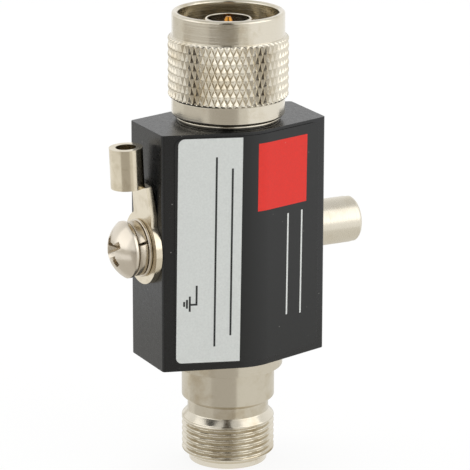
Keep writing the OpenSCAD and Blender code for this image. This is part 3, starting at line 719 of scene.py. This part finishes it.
class ARRESTOR_OT_nut(bpy.types.Operator):
    """Turns the coupling nut with its diamond knurl and its thread."""

    bl_idname = "arrestor.nut"
    bl_label = "Coupling nut"

    def execute(self, context):
        sizes = context.scene.arrestor_sizes
        colours = context.scene.arrestor_colours
        low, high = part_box("coupling_nut")
        crest = (high.x - low.x) / 2
        section = half_section("coupling_nut")
        root = crest - sizes.knurl_depth
        slack = 0.1 * sizes.knurl_depth
        knurled = [i for i, point in enumerate(section) if point.x > root - slack]
        knurl_side = knurled[0]
        knurl_end = knurled[-1]
        foot = section[knurl_side].y
        top = section[knurl_end].y
        band = [Vector((root, foot)), Vector((root, top))]
        outline = section[:knurl_side] + band + section[knurl_end + 1:]
        chamfer = sizes.knurl_depth / (top - foot)
        samples = 8
        # Share of a groove's pitch that is level on the tips of the diamonds
        level = 0.04

        def knurl(angle, height, radius):
            around = angle / math.tau * sizes.knurl_count
            along = ((height - foot) / (top - foot) - chamfer) / (1 - 2 * chamfer) * sizes.knurl_rows
            grooves = max(abs(2 * ((around + s * along) % 1.0) - 1) for s in (1, -1))
            diamond = crest - sizes.knurl_relief * max(grooves - level, 0.0) / (1 - level)
            return min(diamond, radius + height - foot, radius + top - height)

        diamonds = round(sizes.knurl_rows * samples)
        knurl_stops = [chamfer + (1 - 2 * chamfer) * k / diamonds for k in range(diamonds + 1)]
        knurl_stops = [chamfer / 2] + knurl_stops + [1 - chamfer / 2]

        # The thread's wall is the narrowest one between the hole in the nut's foot and its mouth
        hole_top = low.z + 4 * MM
        mouth_foot = high.z - 1 * MM
        bore = min(point.x for point in outline if hole_top < point.y < mouth_foot)
        thread_side = side_near(outline, bore, (low.z + high.z) / 2)
        heights, thread_stops = thread_rows(outline, thread_side, sizes.line_pitch, rows_per_turn=6)

        def thread(angle, height, radius):
            return radius + sizes.line_depth * (1 - thread_depth(angle, height, *heights, sizes.line_pitch))

        mesh = turned_mesh(
            "coupling_nut_dressed", outline, sizes.metal_round, sizes.knurl_count * samples,
            {knurl_side: (knurl_stops, knurl), thread_side: (thread_stops, thread)}
        )
        plate = turned_plate("nickel_plate_on_turned_nut", LINE_AXIS, colours.nickel, colours.nickel_stain)
        stand_for("coupling_nut", mesh, plate)
        return {"FINISHED"}


class ARRESTOR_OT_plug(bpy.types.Operator):
    """Finishes the plug inside the coupling nut: shell, pin, bead, gasket, seal and snap ring."""

    bl_idname = "arrestor.plug"
    bl_label = "Plug"

    def execute(self, context):
        sizes = context.scene.arrestor_sizes
        colours = context.scene.arrestor_colours
        plate = turned_plate("nickel_plate_on_turned_plug", LINE_AXIS, colours.nickel, colours.nickel_stain)
        rounded_copy("plug_shell", sizes.metal_round, plate)
        # The darkened gold carries painted shade of the nut's hollow
        gold = turned_plate("gold_plate_on_pin", LINE_AXIS, colours.gold, colours.gold, ring_mm=0.15)
        rounded_copy("plug_pin", sizes.metal_round, gold)
        finish_node("line_conductor", gold)
        rounded_copy("plug_insulator", sizes.metal_round, bead_plastic("white_fluoropolymer", colours))
        rubber = seal_rubber("silicone_rubber", colours)
        rounded_copy("plug_gasket", sizes.sheet_round, rubber)
        finish_node("plug_seal", rubber)
        spring = pressed_plate("spring_steel_ring", colours.steel, colours.steel, roughness=0.3)
        rounded_copy("nut_snap_ring", sizes.metal_round, spring)
        return {"FINISHED"}


class ARRESTOR_OT_jack(bpy.types.Operator):
    """Turns the jack's shell with its thread, and finishes its socket, bead and seal."""

    bl_idname = "arrestor.jack"
    bl_label = "Jack"

    def execute(self, context):
        sizes = context.scene.arrestor_sizes
        colours = context.scene.arrestor_colours
        outline = half_section("jack_shell")
        mount = MOUNTS["jack_thread"]
        wall = mount["dims"]["r_mm"] * MM
        side = side_near(outline, wall, mount["pos_m"][2])
        heights, stops = thread_rows(outline, side, sizes.line_pitch, rows_per_turn=16)
        segments = 224

        def thread(angle, height, radius):
            return radius - sizes.line_depth * thread_depth(angle, height, *heights, sizes.line_pitch)

        mesh = turned_mesh(
            "jack_shell_dressed", outline, sizes.metal_round, segments, {side: (stops, thread)}
        )
        plate = turned_plate("nickel_plate_on_turned_jack", LINE_AXIS, colours.nickel, colours.nickel_stain)
        stand_for("jack_shell", mesh, plate)
        # The darkened gold carries painted shade of the jack's hollow
        gold = turned_plate("gold_plate_on_socket", LINE_AXIS, colours.gold, colours.gold, ring_mm=0.15)
        rounded_copy("jack_socket", sizes.film_round, gold)
        bead = bead_plastic("white_fluoropolymer_of_jack", colours)
        rounded_copy("jack_insulator", sizes.metal_round, bead)
        finish_node("jack_seal", seal_rubber("silicone_rubber_of_jack", colours))
        return {"FINISHED"}


class ARRESTOR_OT_gas_tube(bpy.types.Operator):
    """Cuts the thread of the gas tube's cap, and finishes the tube, its spring and the cap's seal."""

    bl_idname = "arrestor.gas_tube"
    bl_label = "Gas tube"

    def execute(self, context):
        sizes = context.scene.arrestor_sizes
        colours = context.scene.arrestor_colours
        low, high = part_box("gas_tube_cap")
        seal_low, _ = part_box("gas_tube_cap_seal")
        thread = thread_cut(
            CAP_AXIS, (high.z - low.z) / 2, low.x + sizes.cap_depth, seal_low.x - sizes.cap_depth,
            sizes.cap_pitch, sizes.cap_depth
        )
        # So turned, the slot's ends lie on the cap's outline, and the photo shows neither
        turn = Matrix.Rotation(sizes.cap_turn, 3, "X")

        def turn_and_thread(bm):
            bmesh.ops.rotate(bm, verts=bm.verts, cent=CAP_AXIS.translation, matrix=turn)
            thread(bm)

        plate = turned_plate(
            "satin_nickel_plate_on_cap", CAP_AXIS, colours.nickel, colours.nickel_stain, roughness=0.27
        )
        # Clamped to the slot's short edges, the rim would stay sharp
        rounded_copy("gas_tube_cap", 2 * sizes.metal_round, plate, turn_and_thread, clamp=False)
        finish_node("gas_tube_cap_seal", seal_rubber("silicone_rubber_of_cap", colours))
        ceramic = moulded_solid(
            "sintered_alumina", colours.alumina, roughness=0.4, grain_mm=0.4, depth_mm=0.006,
            values={"Subsurface Weight": 0.05}
        )
        rounded_copy("gas_tube_ceramic", sizes.metal_round, ceramic)
        for node in ("gas_tube_inner_electrode", "gas_tube_outer_electrode"):
            rounded_copy(node, sizes.metal_round, plate)
        finish_node("gas_tube_spring", pressed_plate("spring_steel_wire", colours.steel, colours.steel))
        return {"FINISHED"}


class ARRESTOR_OT_ground(bpy.types.Operator):
    """Cuts the ground screw's thread, and finishes the screw, its washers and the lug."""

    bl_idname = "arrestor.ground"
    bl_label = "Ground terminal"

    def execute(self, context):
        sizes = context.scene.arrestor_sizes
        colours = context.scene.arrestor_colours
        _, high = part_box("ground_screw")
        washer_low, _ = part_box("ground_flat_washer")
        cut = thread_cut(
            GROUND_AXIS, sizes.screw_radius, sizes.screw_depth - high.x, -washer_low.x,
            sizes.screw_pitch, sizes.screw_depth
        )
        zinc = turned_plate(
            "zinc_plate_on_screw", GROUND_AXIS, colours.zinc, colours.zinc, roughness=0.23, ring_mm=0.5
        )
        rounded_copy("ground_screw", sizes.metal_round, zinc, cut)
        spring = pressed_plate("zinc_plate_on_spring_steel", colours.steel, colours.zinc, roughness=0.24)
        rounded_copy("ground_lock_washer", sizes.sheet_round, spring)
        washer = turned_plate("zinc_plate_on_washer", GROUND_AXIS, colours.zinc, colours.steel)
        rounded_copy("ground_flat_washer", sizes.sheet_round, washer)
        tin = pressed_plate("tin_plate_on_copper_lug", colours.tin, colours.nickel_stain, roughness=0.18)
        rounded_copy("ground_lug", sizes.sheet_round, tin)
        return {"FINISHED"}


class ARRESTOR_OT_stage(bpy.types.Operator):
    """Sets up the camera, the room, the pale floor, the softboxes and the cards that gloss mirrors."""

    bl_idname = "arrestor.stage"
    bl_label = "Stage"

    def execute(self, context):
        scene = context.scene
        settings = scene.arrestor_stage
        scene.view_settings.view_transform = "Standard"
        self.set_camera(scene, settings)
        self.set_world(scene)
        self.lay_floor(scene)
        bearing = math.atan2(settings.camera_place[1], settings.camera_place[0])
        self.hang_lights(settings.light, bearing)
        self.stand_cards(scene.arrestor_colours, bearing)
        return {"FINISHED"}

    @staticmethod
    def set_camera(scene, settings):
        data = bpy.data.cameras.new("photo_camera")
        data.lens = settings.lens
        data.sensor_width = 36
        data.clip_start = 10 * MM
        camera = in_scene("photo_camera", data)
        turn = Matrix.Rotation(-settings.camera_yaw, 4, "Z")
        fall = Matrix.Rotation(math.radians(90) - settings.camera_pitch, 4, "X")
        roll = Matrix.Rotation(settings.camera_roll, 4, "Z")
        camera.matrix_world = Matrix.Translation(settings.camera_place) @ turn @ fall @ roll
        scene.camera = camera

    @staticmethod
    def set_world(scene, fill=0.66, overhead=0.72, sines=(0.35, 0.9)):
        """An even fill, and for gloss a white room that dims between two sines of the elevation."""
        world = bpy.data.worlds.new("studio")
        scene.world = world
        world.use_nodes = True
        tree = world.node_tree
        path = add(tree, "LightPath").outputs
        direction = add(tree, "TexCoord").outputs["Generated"]
        height = add(tree, "SeparateXYZ", {0: direction}).outputs["Z"]
        room = remap(tree, height, *sines, 1.0, overhead)
        mirrored = remap(tree, path["Is Glossy Ray"], 0.0, 1.0, fill, room)
        level = combine(tree, "MAXIMUM", mirrored, path["Is Camera Ray"])
        background = tree.nodes["Background"]
        background.inputs["Color"].default_value = linear("#ffffff")
        tree.links.new(level, background.inputs["Strength"])

    @staticmethod
    def lay_floor(scene, radius=1.6, segments=96, glow=0.88):
        """A round pale floor, which camera and gloss see nearly white."""
        bm = bmesh.new()
        bmesh.ops.create_circle(bm, cap_ends=True, segments=segments, radius=radius)
        mesh = as_mesh(bm, "studio_floor")
        floor = in_scene("studio_floor", mesh)
        material, tree, shader = new_material("matt_floor", {"Roughness": 0.8, "Specular IOR Level": 0.1})
        shader.inputs["Base Color"].default_value = scene.arrestor_colours.floor
        path = add(tree, "LightPath").outputs
        seen = combine(tree, "MAXIMUM", path["Is Camera Ray"], path["Is Glossy Ray"])
        share = combine(tree, "MULTIPLY", seen, glow)
        white = add(tree, "Emission", {"Color": linear("#ffffff"), "Strength": 1.0}).outputs[0]
        shown = add(tree, "MixShader", {0: share, 1: shader.outputs[0], 2: white}).outputs[0]
        tree.links.new(shown, tree.nodes["Material Output"].inputs["Surface"])
        mesh.materials.append(material)

    @staticmethod
    def hang_lights(power, bearing):
        """Softboxes by angle from the camera, elevation, distance, width, height and share of the light."""
        middle = (BLOCK_LOW + BLOCK_HIGH) / 2
        boxes = (
            ("left_softbox", -75, 28, 0.9, 0.9, 0.9, 0.149),
            ("right_softbox", 70, 32, 0.9, 0.9, 0.9, 0.266),
            ("top_softbox", 180, 70, 0.9, 0.9, 0.6, 0.585),
        )
        for name, turn, rise, distance, width, height, share in boxes:
            light = bpy.data.lights.new(name, "AREA")
            light.shape = "RECTANGLE"
            light.size = width
            light.size_y = height
            light.energy = power * share
            box = in_scene(name, light)
            angle = bearing + math.radians(turn)
            rise = math.radians(rise)
            level = math.cos(rise)
            out = Vector((math.cos(angle) * level, math.sin(angle) * level, math.sin(rise)))
            box.location = middle + out * distance
            box.rotation_mode = "QUATERNION"
            box.rotation_quaternion = (-out).to_track_quat("-Z", "Y")
            # Mirrored in the plate, the small top softbox would be a hard white band
            box.visible_glossy = name != "top_softbox"

    @staticmethod
    def stand_cards(colours, bearing):
        """Cards that only gloss mirrors, each between two angles from the camera.

        A card follows points of (distance from the coaxial line, height), in metres.
        """
        near = 0.0085
        ring_end = 0.095
        far = 0.2
        floor = 0.0005
        low = 0.022
        high = 0.05
        step = 8
        sheet = ((near, floor), (far, floor), (far, low))
        tall_sheet = ((near, floor), (far, floor), (far, high))
        # Rings round the foot: painted shade of the floor near the object, a tone below the glowing floor's
        # white
        ring = ((near, floor), (ring_end, floor))
        screen = ((far, floor), (far, high))
        hood = ((far, high), (far, 0.17), (0.14, 0.3), (0.08, 0.36))
        cards = (
            ("grey_sheet", -38, 20, sheet, colours.grey_card),
            ("dusk_screen", -38, 20, ((far, low), (far, high)), colours.dusk_card),
            ("dark_hood", -16, 12, hood, colours.dark_card),
            ("pale_sheet", 20, 40, tall_sheet, colours.pale_card),
            ("side_shade_ring", -100, -38, ring, colours.side_card),
            ("side_screen", -100, -38, screen, colours.side_card),
            ("pale_shade_ring", 40, 260, ring, colours.pale_card),
            ("pale_screen", 210, 260, screen, colours.pale_card),
        )
        for name, start, end, profile, colour in cards:
            bm = bmesh.new()
            rows = []
            steps = math.ceil((end - start) / step)
            for k in range(steps + 1):
                angle = bearing + math.radians(start + (end - start) * k / steps)
                x = math.cos(angle)
                y = math.sin(angle)
                rows.append([bm.verts.new((distance * x, distance * y, z)) for distance, z in profile])
            for row, following in zip(rows, rows[1:]):
                for k in range(len(profile) - 1):
                    bm.faces.new((row[k], following[k], following[k + 1], row[k + 1]))
            mesh = as_mesh(bm, name)
            # The card shows its own even tone, whatever light falls on it
            tone = {"Base Color": linear("#000000"), "Specular IOR Level": 0.0, "Emission Color": colour}
            material, _, _ = new_material("matt_" + name, {**tone, "Emission Strength": 1.0})
            mesh.materials.append(material)
            card = in_scene(name, mesh)
            card.visible_camera = False
            card.visible_diffuse = False
            card.visible_shadow = False


class ARRESTOR_PT_pieces(bpy.types.Panel):
    """Lists the pieces, their sizes and their colours."""

    bl_label = "Coaxial arrestor"
    bl_idname = "ARRESTOR_PT_pieces"
    bl_space_type = "VIEW_3D"
    bl_region_type = "UI"
    bl_category = "Arrestor"

    def draw(self, context):
        for operator in OPERATORS:
            self.layout.operator(operator.bl_idname)
        for name in GROUPS:
            group = getattr(context.scene, name)
            box = self.layout.box()
            for prop in group.bl_rna.properties:
                if prop.identifier not in {"rna_type", "name"}:
                    box.prop(group, prop.identifier)


OPERATORS = (
    ARRESTOR_OT_stage,
    ARRESTOR_OT_block,
    ARRESTOR_OT_label,
    ARRESTOR_OT_nut,
    ARRESTOR_OT_plug,
    ARRESTOR_OT_jack,
    ARRESTOR_OT_gas_tube,
    ARRESTOR_OT_ground,
)
GROUPS = {
    "arrestor_sizes": ArrestorSizes,
    "arrestor_label": LabelSizes,
    "arrestor_colours": ArrestorColours,
    "arrestor_stage": StageSettings,
}


def register():
    for cls in (*GROUPS.values(), *OPERATORS, ARRESTOR_PT_pieces):
        bpy.utils.register_class(cls)
    for name, group in GROUPS.items():
        setattr(bpy.types.Scene, name, bpy.props.PointerProperty(type=group))


def unregister():
    for name in GROUPS:
        delattr(bpy.types.Scene, name)
    for cls in (ARRESTOR_PT_pieces, *reversed(OPERATORS), *reversed(GROUPS.values())):
        bpy.utils.unregister_class(cls)


def main():
    register()
    bpy.ops.arrestor.stage()
    bpy.ops.arrestor.block()
    bpy.ops.arrestor.label()
    bpy.ops.arrestor.nut()
    bpy.ops.arrestor.plug()
    bpy.ops.arrestor.jack()
    bpy.ops.arrestor.gas_tube()
    bpy.ops.arrestor.ground()


if __name__ == "__main__":
    main()
